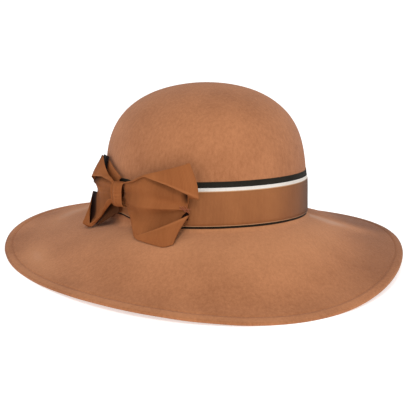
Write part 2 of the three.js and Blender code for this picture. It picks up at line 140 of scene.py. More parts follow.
def in_felt(turn, station, depth, from_edge=0.0):
    """Points at a depth under the outer skin, square to it."""
    here = felt_skin(turn, station, from_edge)
    if station == 0:
        return here - (0, 0, depth)
    step = 1e-4
    sideways = felt_skin(turn + step, station, from_edge) - felt_skin(turn - step, station, from_edge)
    if station < 3:
        down = felt_skin(turn, min(station + 0.002, 3)) - felt_skin(turn, station - 0.002)
    else:
        down = felt_skin(turn, 3, from_edge - 2e-5) - felt_skin(turn, 3, from_edge + 2e-5)
    normal = np.cross(down, sideways)
    normal /= np.linalg.norm(normal, axis=-1, keepdims=True)
    normal *= np.sign(normal[..., 2:3]) if station > 1 else 1
    if station <= 1:
        normal *= np.sign((normal * here).sum(-1, keepdims=True))
    return here - normal * depth


def piece_from(name, points, faces, uv=None, shade=None):
    """A piece in the scene from points in the hat's frame, with its faces smooth."""
    mesh = bpy.data.meshes.new(name)
    used = sorted({point for face in faces for point in face})
    renumbered = {old: new for new, old in enumerate(used)}
    set_points = np.asarray(points)[used] @ set_down.T + hat_place
    mesh.from_pydata(set_points.tolist(), [], [[renumbered[point] for point in face] for face in faces])
    mesh.update()
    mesh.shade_smooth()
    if uv is not None:
        layer = mesh.uv_layers.new(name="cloth")
        corner = np.empty(len(mesh.loops), dtype=np.int32)
        mesh.loops.foreach_get("vertex_index", corner)
        layer.data.foreach_set("uv", np.asarray(uv)[used][corner].ravel())
    if shade is not None:
        mesh.attributes.new("shade", "FLOAT", "POINT").data.foreach_set("value", np.asarray(shade)[used])
    piece = bpy.data.objects.new(name, mesh)
    scene.collection.objects.link(piece)
    return piece


def rings_mesh(rings, tip=None, end=None, looped=False):
    """Points and faces over rings of equal length, with single points closing the ends."""
    count = len(rings[0])
    points = np.concatenate(rings)
    i = np.arange(count)
    j = (i + 1) % count
    faces = []
    for k in range(len(rings) if looped else len(rings) - 1):
        a, b = k * count, ((k + 1) % len(rings)) * count
        faces += np.stack((a + i, b + i, b + j, a + j), -1).tolist()
    if tip is not None:
        top, bottom = len(points), len(points) + 1
        points = np.vstack((points, tip, end))
        last = (len(rings) - 1) * count
        faces += np.stack((np.full(count, top), i, j), -1).tolist()
        faces += np.stack((np.full(count, bottom), last + j, last + i), -1).tolist()
    return points, faces


# Rings of points run from the tip of the dome over the brim's edge and back under it to the tip. Each is
# given by its station and its distance in from the edge, and they lie close together at the groove.
AROUND = 256
GROOVE_RINGS = (0.0115, 0.0105, 0.0097, 0.009, 0.0084, 0.0079, 0.0075, 0.0071, 0.0066, 0.006)
EDGE_STEPS = 12
turns = np.arange(AROUND) * tau / AROUND
dome = [(k / 56, 0.0) for k in range(1, 56)]
bend = [(1 + k / 12, 0.0) for k in range(13)]
brim = [(2 + k / 40, 0.0) for k in range(1, 34)]
upper = dome + bend + brim + [(3, edge) for edge in GROOVE_RINGS]
hem_top = [(3, edge) for edge in (0.0053, 0.0045, 0.0037, 0.0029, 0.0022)]
rings = [in_felt(turns, station, 0, edge) for station, edge in upper + hem_top]
for k in range(1, EDGE_STEPS):
    angle = pi * k / EDGE_STEPS
    edge = HEM_THICKNESS / 2 * (1 - np.sin(angle))
    rings.append(in_felt(turns, 3, HEM_THICKNESS / 2 * (1 - np.cos(angle)), edge))
rings += [in_felt(turns, 3, HEM_THICKNESS, edge) for edge in (0.0022, 0.0035, 0.005, 0.0062, 0.0069)]
hem_inside = ((0.0029, 0.0072), (0.0025, 0.0075), (0.0021, 0.0077))
rings += [in_felt(turns, 3, depth, edge) for depth, edge in hem_inside]
under = dome[::2] + bend[::2] + brim[::2]
rings += [in_felt(turns, station, FELT_THICKNESS, edge) for station, edge in under[::-1]]
felt_points, felt_faces = rings_mesh(rings, in_felt(0.0, 0, 0), in_felt(0.0, 0, FELT_THICKNESS))

# Hand blocking leaves the felt slightly uneven.
WAVES, WAVE_LENGTH, UNEVENNESS = 9, 0.075, 0.0004
uneven = np.random.default_rng(4)
waves = [(uneven.normal(size=3) * tau / WAVE_LENGTH, uneven.uniform(0, tau)) for _ in range(WAVES)]
direction = felt_points - felt_points.mean(0)
direction /= np.linalg.norm(direction, axis=1, keepdims=True)
ripple = sum(np.sin(felt_points @ wave + phase) for wave, phase in waves) / WAVES
felt_points = felt_points + direction * (ripple * UNEVENNESS)[:, None]

# The edge is soft, so it is flat where it meets the floor.
normal = np.array(floor_normal)
over_floor = felt_points @ normal + hat_place[2]
felt_points = felt_points + normal * np.clip(-over_floor, 0, None)[:, None]

# The felt's shade holds painted light and shade: above 0 where it is painted paler and below 0 where
# it is painted darker. A painted highlight lies round the foot of the crown, most towards the front, and
# painted shade on the front of the crown and on the brim at the wearer's left.
felt_degrees = np.degrees(np.arctan2(felt_points[:, 1], felt_points[:, 0]))
from_crown = np.hypot(felt_points[:, 0] * CROWN_LENGTH / CROWN_WIDTH, felt_points[:, 1]) - CROWN_LENGTH / 2
up_crown = felt_points[:, 2]


def facing(degrees):
    """1 where the felt looks in a direction round the hat, and -1 where it looks the other way."""
    return np.cos(np.radians(felt_degrees - degrees))


painted_foot_light = swell(from_crown, 0.012, 0.03) * (0.6 + 0.4 * facing(-75)) * (1 - fade(up_crown, 0, 0.006))
painted_felt_shade = 1.1 * fade(from_crown, 0.025, 0.06) * np.clip(facing(-20), 0, 1) ** 2
painted_felt_shade += 0.33 * fade(up_crown, 0, 0.02) * fade(up_crown, 0.105, 0.075) * np.clip(facing(-112), 0, 1) ** 2

# Where the brim rolls over, painted sheen lies in pale streaks: one along the roll at the wearer's
# left, with painted shade past it, and two short ones at the wearer's right and behind it.
STREAK_PLACES, STREAK_DEGREES = (0.0035, 0.0225, 0.039, 0.068), (-30, -28, -21, -12)
past_streak = felt_degrees - np.interp(from_crown, STREAK_PLACES, STREAK_DEGREES)
painted_sheen = 1.5 * swell(past_streak, 0, 5) * fade(from_crown, 0.08, 0.055)
painted_sheen -= 0.9 * fade(past_streak, 2, 10) * fade(felt_degrees, 60, 15)
painted_sheen = np.where(from_crown > 0.002, painted_sheen, 0)
for shine, degrees, degrees_spread, place, place_spread in (
    (1.6, 126, 20, 0.058, 0.015),
    (1.2, 176, 16, 0.076, 0.013),
):
    away = (felt_degrees - degrees + 180) % 360 - 180
    painted_sheen += shine * swell(away, 0, degrees_spread) * swell(from_crown, place, place_spread)

# The hem has a painted highlight in front, and painted shade on its outermost edge at the back.
ring_number = np.arange(len(felt_points)) // AROUND
first_edge = len(upper) + len(hem_top)
on_hem = (ring_number >= len(upper)) & (ring_number < first_edge)
on_edge = (ring_number >= first_edge) & (ring_number < first_edge + EDGE_STEPS - 1)
felt_shade = painted_foot_light - painted_felt_shade + painted_sheen + 0.6 * on_hem * np.clip(-2 * facing(70), 0, 1)
felt_shade = np.where(on_edge, -2 * np.clip(0.6 + 1.5 * facing(70), 0, 1), felt_shade)
felt_body = piece_from("felt_body", felt_points, felt_faces, shade=felt_shade)


def node_placer(tree):
    """Shorthand for placing the nodes of a tree and joining them."""

    def node(kind, inputs=None, **settings):
        made = tree.nodes.new(kind)
        for name, value in settings.items():
            setattr(made, name, value)
        for name, value in (inputs or {}).items():
            if isinstance(value, bpy.types.NodeSocket):
                tree.links.new(value, made.inputs[name])
            else:
                made.inputs[name].default_value = value
        return made

    return node


def node_maker(material):
    """The same for a material or a world, which is emptied first."""
    material.use_nodes = True
    material.node_tree.nodes.clear()
    return node_placer(material.node_tree)


def calculate(node, operation, *values):
    return node("ShaderNodeMath", dict(enumerate(values)), operation=operation).outputs[0]


def ramp(node, fac, *stops):
    made = node("ShaderNodeValToRGB", {"Fac": fac})
    elements = made.color_ramp.elements
    for k, (place, color) in enumerate(stops):
        element = elements[k] if k < 2 else elements.new(place)
        element.position = place
        element.color = (*color, 1)
    return made.outputs["Color"]


def noise(node, vector, scale, detail, roughness=0.5, distortion=0.0):
    grain = {"Scale": scale, "Detail": detail, "Roughness": roughness, "Distortion": distortion}
    return node("ShaderNodeTexNoise", {"Vector": vector, **grain}).outputs["Fac"]


def average(node, share, one, other):
    return node("ShaderNodeMix", {"Factor": share, 2: one, 3: other}, data_type="FLOAT").outputs[0]


def tint(node, share, color, other):
    """A colour moved towards another by a share."""
    return node("ShaderNodeMix", {"Factor": share, 6: color, 7: (*other, 1)}, data_type="RGBA").outputs[2]


def share_of(node, value, low, high, most=1.0):
    """0 at a low value and at most the given share at a high one."""
    ends = {"Value": value, "From Min": low, "From Max": high, "To Max": most}
    return node("ShaderNodeMapRange", ends).outputs[0]


FELT_DARK, FELT_LIGHT = (0.285, 0.105, 0.041), (0.49, 0.202, 0.088)
# Colours of the painted light, painted sheen and painted shade on the felt.
PAINTED_LIGHT, PAINTED_SHEEN, PAINTED_SHADE = (0.72, 0.34, 0.16), (0.7, 0.57, 0.5), (0.1, 0.03, 0.012)
felt = bpy.data.materials.new("camel_wool_felt")
node = node_maker(felt)
where = node("ShaderNodeTexCoord").outputs["Object"]
upright = node("ShaderNodeMapping", {"Vector": where, "Scale": (1, 1, 0.4)}).outputs[0]
cloud = noise(node, where, 16, 3)
mottle = noise(node, upright, 420, 4, 0.65)
fibre = noise(node, where, 900, 4, 0.7, 1.5)
speckled = average(node, 0.3, average(node, 0.45, cloud, mottle), fibre)
painted_light_and_shade = node("ShaderNodeAttribute", attribute_name="shade").outputs["Fac"]
felt_color = ramp(node, speckled, (0.36, FELT_DARK), (0.64, FELT_LIGHT))
# The shade tints the colour with painted light, painted sheen and painted shade.
felt_color = tint(node, share_of(node, painted_light_and_shade, 0, 1, 0.24), felt_color, PAINTED_LIGHT)
felt_color = tint(node, share_of(node, painted_light_and_shade, 1, 2, 0.22), felt_color, PAINTED_SHEEN)
felt_color = tint(node, share_of(node, painted_light_and_shade, 0, -2, 0.6), felt_color, PAINTED_SHADE)
nap = calculate(node, "ADD", fibre, mottle)
felt_bump = node("ShaderNodeBump", {"Strength": 0.5, "Distance": 0.0006, "Height": nap}).outputs[0]
surface = node(
    "ShaderNodeBsdfPrincipled",
    {
        "Base Color": felt_color,
        "Roughness": 0.95,
        "Normal": felt_bump,
        "Sheen Weight": 0.13,
        "Sheen Roughness": 0.55,
        "Sheen Tint": (1, 0.78, 0.7, 1),
        "Specular IOR Level": 0.15,
    },
)
node("ShaderNodeOutputMaterial", {"Surface": surface.outputs[0]})
felt_body.data.materials.append(felt)
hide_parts("felt_crown_and_brim")
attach(felt_body, "root")

# Hem stitches
#
# A running stitch of camel thread, sewn by machine. It lies in the groove round the brim and holds the
# turned edge down.
HEM_PITCH, HEM_STITCH, HEM_THREAD = 0.0034, 0.0024, 0.0005
stitching = bpy.data.node_groups.new("running_stitch", "GeometryNodeTree")
for label, kind in (
    ("Path", "NodeSocketGeometry"),
    ("Pitch", "NodeSocketFloat"),
    ("Stitch Length", "NodeSocketFloat"),
    ("Thread", "NodeSocketFloat"),
    ("Finish", "NodeSocketMaterial"),
):
    stitching.interface.new_socket(label, in_out="INPUT", socket_type=kind)
stitching.interface.new_socket("Stitches", in_out="OUTPUT", socket_type="NodeSocketGeometry")
stitch_node = node_placer(stitching)
given = stitch_node("NodeGroupInput").outputs
route = stitch_node("GeometryNodeMeshToCurve", {"Mesh": given["Path"]}).outputs[0]
spacing = {"Curve": route, "Length": given["Pitch"]}
marks = stitch_node("GeometryNodeResampleCurve", spacing, mode="LENGTH").outputs[0]
tangent = stitch_node("GeometryNodeInputTangent").outputs[0]
along_path = stitch_node("FunctionNodeAlignRotationToVector", {"Vector": tangent}, axis="X").outputs[0]
bead = stitch_node("GeometryNodeMeshUVSphere", {"Segments": 8, "Rings": 6, "Radius": 0.5}).outputs[0]
bead_size = stitch_node(
    "ShaderNodeCombineXYZ", {0: given["Stitch Length"], 1: given["Thread"], 2: given["Thread"]}
).outputs[0]
placing = {"Points": marks, "Instance": bead, "Rotation": along_path, "Scale": bead_size}
placed = stitch_node("GeometryNodeInstanceOnPoints", placing).outputs[0]
made_real = stitch_node("GeometryNodeRealizeInstances", {0: placed}).outputs[0]
smooth = stitch_node("GeometryNodeSetShadeSmooth", {"Geometry": made_real}).outputs[0]
finish = {"Geometry": smooth, "Material": given["Finish"]}
finished = stitch_node("GeometryNodeSetMaterial", finish).outputs[0]
stitch_node("NodeGroupOutput", {0: finished})


def stitches(name, path, looped, pitch, length, thread, finish):
    """Stitches along a path of points in the hat's frame, as one plain mesh."""
    edges = [(k, (k + 1) % len(path)) for k in range(len(path) if looped else len(path) - 1)]
    mesh = bpy.data.meshes.new(name + "_path")
    mesh.from_pydata((np.asarray(path) @ set_down.T + hat_place).tolist(), edges, [])
    piece = bpy.data.objects.new(name, mesh)
    scene.collection.objects.link(piece)
    modifier = piece.modifiers.new("stitches", "NODES")
    modifier.node_group = stitching
    sizes = {"Pitch": pitch, "Stitch Length": length, "Thread": thread, "Finish": finish}
    for item in stitching.interface.items_tree:
        if item.name in sizes:
            modifier[item.identifier] = sizes[item.name]
    evaluated = piece.evaluated_get(bpy.context.evaluated_depsgraph_get())
    stitched = bpy.data.meshes.new_from_object(evaluated)
    piece.modifiers.remove(modifier)
    piece.data = stitched
    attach(piece, "root")


def thread_material(name, dark, light, roughness, twist):
    material = bpy.data.materials.new(name)
    node = node_maker(material)
    where = node("ShaderNodeTexCoord").outputs["Object"]
    ply = noise(node, where, 2500, 2)
    color = ramp(node, ply, (0.35, dark), (0.65, light))
    surface = node("ShaderNodeBsdfPrincipled", {"Base Color": color, "Roughness": roughness})
    if twist:
        bump = node("ShaderNodeBump", {"Strength": twist, "Distance": 0.0001, "Height": ply})
        material.node_tree.links.new(bump.outputs[0], surface.inputs["Normal"])
    node("ShaderNodeOutputMaterial", {"Surface": surface.outputs[0]})
    return material


camel_thread = thread_material("camel_thread", (0.24, 0.085, 0.032), (0.36, 0.14, 0.058), 0.75, 0.4)
groove_turns = np.arange(2 * AROUND) * tau / (2 * AROUND)
groove = in_felt(groove_turns, 3, 0.0001, HEM_WIDTH)
stitches("hem_stitches", groove, True, HEM_PITCH, HEM_STITCH, HEM_THREAD, camel_thread)

# Ribbon band
#
# Three ribbed ribbons lie on each other round the foot of the crown: a wide black one, then a cream one,
# then the brown one. The first two show as stripes above the brown one. The black one also shows as a dark
# line below it, part ribbon and part a stand-in for the shadow under the brown one's foot. Their ends meet
# under the bow, which draws them together.
BAND_OUT = 0.0013
BAND_FOOT, BROWN_WIDTH, CREAM_STRIPE, BLACK_STRIPE = 0.0035, 0.0285, 0.0027, 0.0048
BLACK_AND_SHADOW_BELOW, CREAM_FOOT = 0.0019, 0.0075
BAND_LIFT, BAND_DIP, FOOT_STAND_OFF, EDGE_ROUNDING = 0.0068, 0.0026, 0.0004, 0.00012
BAND_STEPS, BAND_ROWS, GIRTH_HEIGHT = 240, 9, 0.02
BOW_TURN, BOW_HEIGHT = 199.7, 0.0275
RIB_PITCH = 0.0011


def lengths_along(points):
    """How far along the line through them each of the points lies."""
    return np.concatenate(([0], np.cumsum(np.linalg.norm(np.diff(points, axis=0), axis=1))))


fine_turns = np.linspace(0, tau, 1441)
fine_lengths = lengths_along(on_crown(fine_turns, BOW_HEIGHT, BAND_OUT))
bow_start = np.interp(radians(BOW_TURN), fine_turns, fine_lengths)
band_turns = np.arange(BAND_STEPS) * tau / BAND_STEPS
band_along = lengths_along(on_crown(np.append(band_turns, tau), GIRTH_HEIGHT, BAND_OUT))[:-1]


def ribbon_material(name, dark, light, edge, sheen, rib_depth, gloss=0.3, shaded_side=0):
    """Ribbed ribbon: its ribs run across it, and the map holds metres along and shares across."""
    material = bpy.data.materials.new(name)
    node = node_maker(material)
    uv = node("ShaderNodeUVMap", uv_map="cloth").outputs[0]
    parts = node("ShaderNodeSeparateXYZ", {0: uv})
    along, across = parts.outputs[0], parts.outputs[1]
    rib = calculate(node, "SINE", calculate(node, "MULTIPLY", along, tau / RIB_PITCH))
    laid = node("ShaderNodeMapping", {"Vector": uv, "Scale": (1, 0.008, 1)}).outputs[0]
    grain = noise(node, laid, 420, 4, 0.7)
    tone = average(node, 0.35, noise(node, laid, 40, 2), grain)
    body = ramp(node, calculate(node, "MULTIPLY_ADD", rib, 0.05, tone), (0.35, dark), (0.65, light))
    # The selvedges take the edge colour, lighter on the brown and cream ones: a painted highlight along the
    # edges.
    from_middle = calculate(node, "ABSOLUTE", calculate(node, "SUBTRACT", across, 0.5))
    color = tint(node, share_of(node, from_middle, 0.472, 0.488), body, edge)
    # Painted shade: where a shaded side is given, the shade attribute darkens the colour.
    if shaded_side:
        shade = node("ShaderNodeAttribute", attribute_name="shade").outputs["Fac"]
        color = tint(node, share_of(node, shade, 0, shaded_side), color, (0.008, 0.002, 0.001))
    relief = calculate(node, "MULTIPLY_ADD", grain, 0.35, rib)
    bump = node("ShaderNodeBump", {"Strength": rib_depth, "Distance": 0.0002, "Height": relief}).outputs[0]
    surface = node(
        "ShaderNodeBsdfPrincipled",
        {
            "Base Color": color,
            "Roughness": 0.7,
            "Normal": bump,
            "Sheen Weight": sheen,
            "Sheen Roughness": 0.4,
            "Specular IOR Level": gloss,
        },
    )
    node("ShaderNodeOutputMaterial", {"Surface": surface.outputs[0]})
    return material


BLACK_DARK, BLACK_LIGHT = (0.011, 0.009, 0.006), (0.02, 0.017, 0.012)
CREAM_DARK, CREAM_LIGHT, CREAM_EDGE_HIGHLIGHT = (0.66, 0.59, 0.53), (0.76, 0.7, 0.64), (0.8, 0.75, 0.69)
BROWN_DARK, BROWN_LIGHT, BROWN_EDGE_HIGHLIGHT = (0.245, 0.084, 0.026), (0.32, 0.117, 0.038), (0.60, 0.33, 0.17)
black_ribbon = ribbon_material("black_ribbon", BLACK_DARK, BLACK_LIGHT, BLACK_LIGHT, 0, 0.4, 0.1)
cream_ribbon = ribbon_material("cream_ribbon", CREAM_DARK, CREAM_LIGHT, CREAM_EDGE_HIGHLIGHT, 0.1, 0.3)
brown_ribbon = ribbon_material(
    "copper_brown_ribbon", BROWN_DARK, BROWN_LIGHT, BROWN_EDGE_HIGHLIGHT, 0.05, 0.4, gloss=0.2, shaded_side=-1
)


def ribbon_round(name, low, high, inner, outer, material, node_name, stand_off=0.0):
    """A closed ribbon between two heights, lying between two distances from the felt."""
    # Beside the bow its foot is lifted and its top dips.
    past_bow = band_along - bow_start
    foot = low + BAND_LIFT * swell(past_bow, -0.016, 0.027)
    top = high - BAND_DIP * swell(past_bow, 0.010, 0.006)
    rows = np.linspace(0, 1, BAND_ROWS)
    outside = []
    for share in rows:
        rounded = EDGE_ROUNDING if share in (0, 1) else 0
        out = outer + stand_off * (1 - share) ** 4 - rounded
        outside.append(on_crown(band_turns, foot + (top - foot) * share, out))
    inside = [on_crown(band_turns, foot + (top - foot) * share, inner) for share in rows[::-1]]
    points, faces = rings_mesh(outside + inside, looped=True)
    shares = np.concatenate((rows, rows[::-1]))
    uv = np.stack((np.tile(band_along, 2 * BAND_ROWS), np.repeat(shares, BAND_STEPS)), -1)
    # At the wearer's left the brown one is given painted shade, which its material reads from the shade.
    past_left = (np.degrees(band_turns) + 27 + 180) % 360 - 180
    painted_band_shade = -0.7 * swell(past_left, 0, 26)
    piece = piece_from(name, points, faces, uv, np.tile(painted_band_shade, 2 * BAND_ROWS))
    piece.data.materials.append(material)
    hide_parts(node_name)
    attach(piece, "root")


brown_top = BAND_FOOT + BROWN_WIDTH
cream_top = brown_top + CREAM_STRIPE
black_top = cream_top + BLACK_STRIPE
black_low = BAND_FOOT - BLACK_AND_SHADOW_BELOW
ribbon_round(
    "ribbon_black",
    low=black_low,
    high=black_top,
    inner=0.0001,
    outer=0.0005,
    material=black_ribbon,
    node_name="band_black_ribbon",
    stand_off=FOOT_STAND_OFF,
)
ribbon_round(
    "ribbon_cream",
    low=CREAM_FOOT,
    high=cream_top,
    inner=0.0006,
    outer=0.0009,
    material=cream_ribbon,
    node_name="band_cream_ribbon",
)
ribbon_round(
    "ribbon_brown",
    low=BAND_FOOT,
    high=brown_top,
    inner=0.001,
    outer=BAND_OUT,
    material=brown_ribbon,
    node_name="band_brown_ribbon",
    stand_off=FOOT_STAND_OFF,
)

# Bow
#
# Two loops of the same ribbed ribbon as the brown one of the band, twice as wide, one each side of the
# knot. Each loop is folded out into flaps above and below, and its outer end lies against the band.
WING_RISE, WING_DEPTH = 0.034, 0.020
FRONT_REACH, BACK_REACH = 0.076, 0.062
UNDER_KNOT, CLOTH_THICKNESS = 0.0025, 0.00035
PANEL_STEPS, BEND_STEPS, WING_STEPS = 5, 4, 44
BOW_DARK, BOW_LIGHT, BOW_EDGE_HIGHLIGHT = (0.25, 0.08, 0.025), (0.33, 0.113, 0.037), (0.34, 0.118, 0.04)

# Painted shade darkens the cloth's outer face in the folds where its shade is below 0, and its inner face
# where it is above 0.
bow_ribbon = ribbon_material("bow_ribbon", BOW_DARK, BOW_LIGHT, BOW_EDGE_HIGHLIGHT, 0, 0.4, gloss=0.05, shaded_side=-1)
bow_ribbon_inside = ribbon_material(
    "bow_ribbon_inside", BOW_DARK, BOW_LIGHT, BOW_EDGE_HIGHLIGHT, 0, 0.4, gloss=0.05, shaded_side=1
)


def on_bow(along, rise, out):
    """Points from distances along the band past the knot, up from its middle, and out."""
    turn = np.interp(bow_start + along, fine_lengths, fine_turns)
    return on_crown(turn, BOW_HEIGHT + rise, BAND_OUT + out)


# Folds from the top of the cloth to its bottom. Each has five places, at the knot, neck, shoulder, span and
# outer end, and then how softly it is folded. A place is the distance along the band, the height over the
# knot's middle and the distance out, as shares of reach, rise and depth. The layer behind has four places
# from its top to its bottom at its outer end, and four at its inner end.
FRONT_FOLDS = (
    ((0.1, 0.285, 0.4), (0.274, 0.362, 0.52), (0.439, 0.516, 0.66),
     (0.703, 0.336, 0.76), (0.99, -0.016, 0.6), 0.2),
    ((0.1, 0.3, 0.39), (0.268, 0.373, 0.51), (0.435, 0.529, 0.64),
     (0.713, 0.512, 0.77), (0.985, 0.38, 0.67), 0.9),
    ((0.1, 0.31, 0.36), (0.257, 0.387, 0.48), (0.426, 0.543, 0.6),
     (0.68, 0.69, 0.62), (0.915, 0.84, 0.6), 0.12),
    ((0.1, 0.28, 0.33), (0.26, 0.345, 0.42), (0.431, 0.486, 0.52),
     (0.66, 0.56, 0.4), (0.88, 0.7, 0.34), 0.9),
    ((0.1, 0.15, 0.33), (0.236, 0.26, 0.5), (0.34, 0.27, 0.58),
     (0.6, 0.14, 0.55), (0.862, -0.03, 0.32), 0.7),
    ((0.1, 0.03, 0.3), (0.22, 0.03, 0.46), (0.37, 0, 0.5),
     (0.6, -0.08, 0.38), (0.855, -0.2, 0.2), 0.6),
    ((0.1, -0.06, 0.35), (0.2, -0.16, 0.54), (0.336, -0.239, 0.6),
     (0.576, -0.25, 0.54), (0.835, -0.27, 0.24), 0.2),
    ((0.1, -0.12, 0.31), (0.19, -0.33, 0.47), (0.36, -0.48, 0.48),
     (0.6, -0.4, 0.26), (0.843, -0.31, 0.15), 0.8),
    ((0.1, -0.19, 0.3), (0.215, -0.395, 0.5), (0.28, -0.74, 0.76),
     (0.56, -0.62, 0.36), (0.82, -0.46, 0.18), 0.7),
    ((0.1, -0.26, 0.3), (0.208, -0.526, 0.52), (0.313, -0.985, 0.8),
     (0.669, -1.13, 1.03), (0.75, -1.072, 0.9), 0.12),
    ((0.1, -0.245, 0.33), (0.216, -0.508, 0.53), (0.334, -0.953, 0.81),
     (0.63, -0.85, 0.95), (0.79, -0.74, 0.6), 0.9),
    ((0.1, -0.225, 0.34), (0.224, -0.487, 0.54), (0.349, -0.917, 0.82),
     (0.6, -0.685, 0.7), (0.874, -0.398, 0.28), 0.2),
)
FRONT_OUTER = ((0.84, 0.62, 0.07), (0.85, 0.25, 0.07), (0.83, -0.15, 0.07), (0.78, -0.55, 0.07))
FRONT_INNER = ((0.14, 0.28, 0.09), (0.13, 0.2, 0.09), (0.13, -0.2, 0.09), (0.14, -0.36, 0.09))
BACK_FOLDS = (
    ((0.11, 0.15, 0.35), (0.2, 0.3, 0.4), (0.484, 0.36, 0.42),
     (0.69, 0.33, 0.5), (0.903, 0.285, 0.59), 0.2),
    ((0.11, 0.185, 0.34), (0.2, 0.33, 0.38), (0.44, 0.42, 0.37),
     (0.63, 0.5, 0.4), (0.83, 0.56, 0.42), 0.9),
    ((0.11, 0.21, 0.29), (0.2, 0.355, 0.33), (0.33, 0.42, 0.29),
     (0.52, 0.62, 0.25), (0.72, 0.85, 0.2), 0.12),
    ((0.11, 0.18, 0.22), (0.2, 0.28, 0.24), (0.4, 0.32, 0.19),
     (0.56, 0.4, 0.16), (0.74, 0.5, 0.19), 0.9),
    ((0.11, 0.12, 0.27), (0.24, 0.19, 0.3), (0.42, 0.2, 0.32),
     (0.65, 0.17, 0.38), (0.975, 0.154, 0.52), 0.7),
    ((0.11, 0.03, 0.24), (0.24, 0.08, 0.3), (0.45, 0.05, 0.3),
     (0.64, 0.03, 0.3), (0.834, 0.095, 0.42), 0.5),
    ((0.11, -0.04, 0.3), (0.24, 0, 0.4), (0.45, -0.03, 0.42),
     (0.65, -0.05, 0.4), (0.842, -0.014, 0.36), 0.3),
    ((0.11, -0.12, 0.25), (0.22, -0.12, 0.36), (0.42, -0.18, 0.4),
     (0.6, -0.22, 0.42), (0.741, -0.054, 0.4), 0.4),
    ((0.11, -0.17, 0.21), (0.2, -0.2, 0.32), (0.417, -0.422, 0.42),
     (0.54, -0.5, 0.52), (0.558, -0.62, 0.6), 0.5),
    ((0.11, -0.21, 0.28), (0.2, -0.25, 0.42), (0.509, -0.67, 0.5),
     (0.605, -0.917, 0.86), (0.692, -0.94, 0.975), 0.15),
    ((0.11, -0.19, 0.34), (0.215, -0.225, 0.47), (0.489, -0.657, 0.53),
     (0.624, -0.91, 0.92), (0.702, -0.841, 1.195), 0.3),
    ((0.11, -0.155, 0.36), (0.22, -0.19, 0.5), (0.478, -0.641, 0.55),
     (0.619, -0.885, 0.95), (0.756, -0.471, 0.82), 0.5),
    ((0.11, -0.12, 0.37), (0.225, -0.15, 0.53), (0.467, -0.622, 0.57),
     (0.626, -0.86, 0.97), (0.93, -0.093, 0.53), 0.2),
)
BACK_OUTER = ((0.6, 0.83, 0.06), (0.72, 0.3, 0.08), (0.7, -0.3, 0.2), (0.56, -0.88, 0.64))
BACK_INNER = ((0.055, 0.39, 0.12), (0.12, 0.32, 0.12), (0.125, -0.25, 0.14), (0.12, -0.47, 0.18))
WAY_MARKS = (0, 0.2, 0.45, 0.72, 1)
# Rows of the layer behind: round its outer end, on from there, back to its inner end, and to the knot.
TURN_ROWS, LEAD_ROWS, BACK_ROWS, NECK_ROWS = 7, 3, 13, 3
TUCK_SHARES = (0.12, 0.28, 0.5, 0.72, 0.88)


def fold_lines(folds, steps):
    """Each fold as a smooth line from the knot to the outer end: an array of (step, fold, place)."""
    ways = np.linspace(0, 1, steps)
    stops = np.array([row[:5] for row in folds])
    lines = np.stack(
        [[np.interp(ways, WAY_MARKS, fold[:, axis]) for axis in range(3)] for fold in stops]
    ).transpose(2, 0, 1)
    for _ in range(2):
        lines[1:-1] = lines[1:-1] * 0.5 + (lines[:-2] + lines[2:]) * 0.25
    return lines


def across_folds(lines, softness):
    """Rounds each row at its folds. Returns the columns of points and the column where each fold lies."""
    columns, fold_at = [lines[:, 0]], [0]
    count = lines.shape[1]
    for k in range(1, count):
        start, stop = lines[:, k - 1], lines[:, k]
        a = softness[k - 1] / 2 if k > 1 else 0
        b = softness[k] / 2 if k < count - 1 else 0
        for share in np.linspace(a, 1 - b, PANEL_STEPS)[(0 if k > 1 else 1) :]:
            columns.append(start + (stop - start) * share)
        if k < count - 1:
            after = lines[:, k + 1]
            enter, leave = stop + (start - stop) * b, stop + (after - stop) * b
            for share in np.arange(1, BEND_STEPS) / BEND_STEPS:
                curve = enter * (1 - share) ** 2 + stop * 2 * share * (1 - share) + leave * share**2
                columns.append(curve)
                if share == 0.5:
                    fold_at.append(len(columns) - 1)
    fold_at.append(len(columns) - 1)
    return np.stack(columns, 1), fold_at


def spread_evenly(places, shares):
    """Points on the line through evenly spaced places."""
    marks = np.linspace(0, 1, len(places))
    return np.stack([np.interp(shares, marks, np.array(places)[:, axis]) for axis in range(3)], -1)


def layer_behind(end, backing, at_start):
    """Rows of the layer against the band. It turns round the outer end and runs back under the knot."""
    down = np.linspace(0, 1, len(end))
    outer, inner = (spread_evenly(places, down) for places in backing)
    at_knot = np.array((at_start, 0.17, 0.14)) - (0, 0.34, 0) * np.clip(down[:, None] * 3 - 1, 0, 1)
    rows = []
    for angle in np.linspace(0, pi, TURN_ROWS + 1)[1:]:
        share = (1 - np.cos(angle)) / 2
        rows.append(end + (outer - end) * (0, 1, 1) * share + (0.015 * np.sin(angle), 0, 0))
    for start, stop, count in (
        (rows[-1], outer, LEAD_ROWS),
        (outer, inner, BACK_ROWS),
        (inner, at_knot, NECK_ROWS),
    ):
        rows += [start + (stop - start) * share for share in np.linspace(0, 1, count + 1)[1:]]
    return np.array(rows)


def faces_between(rows):
    """Faces between rows of point numbers."""
    faces = []
    for one, two in zip(rows, rows[1:]):
        faces += [(one[c], one[c + 1], two[c + 1], two[c]) for c in range(len(one) - 1)]
    return faces


def pocket(end_numbers, flap, start, first_new):
    """The cloth tucked in at a flap's end: the columns across from the flap's own, and its faces."""
    count = len(flap)
    mates = [round(start + (flap[-1] - start) * k / (count - 1)) for k in range(count)]
    lines = [end_numbers[flap].tolist()]
    for row in range(len(TUCK_SHARES)):
        from_number = first_new + row * count
        lines.append(list(range(from_number, from_number + count - 1)) + [lines[0][-1]])
    lines.append(end_numbers[mates].tolist())
    faces = []
    for one, two in zip(lines, lines[1:]):
        faces += [(one[k + 1], one[k], two[k], two[k + 1]) for k in range(count - 1)]
    return mates, [face for face in (tuple(dict.fromkeys(corners)) for corners in faces) if len(face) > 2]


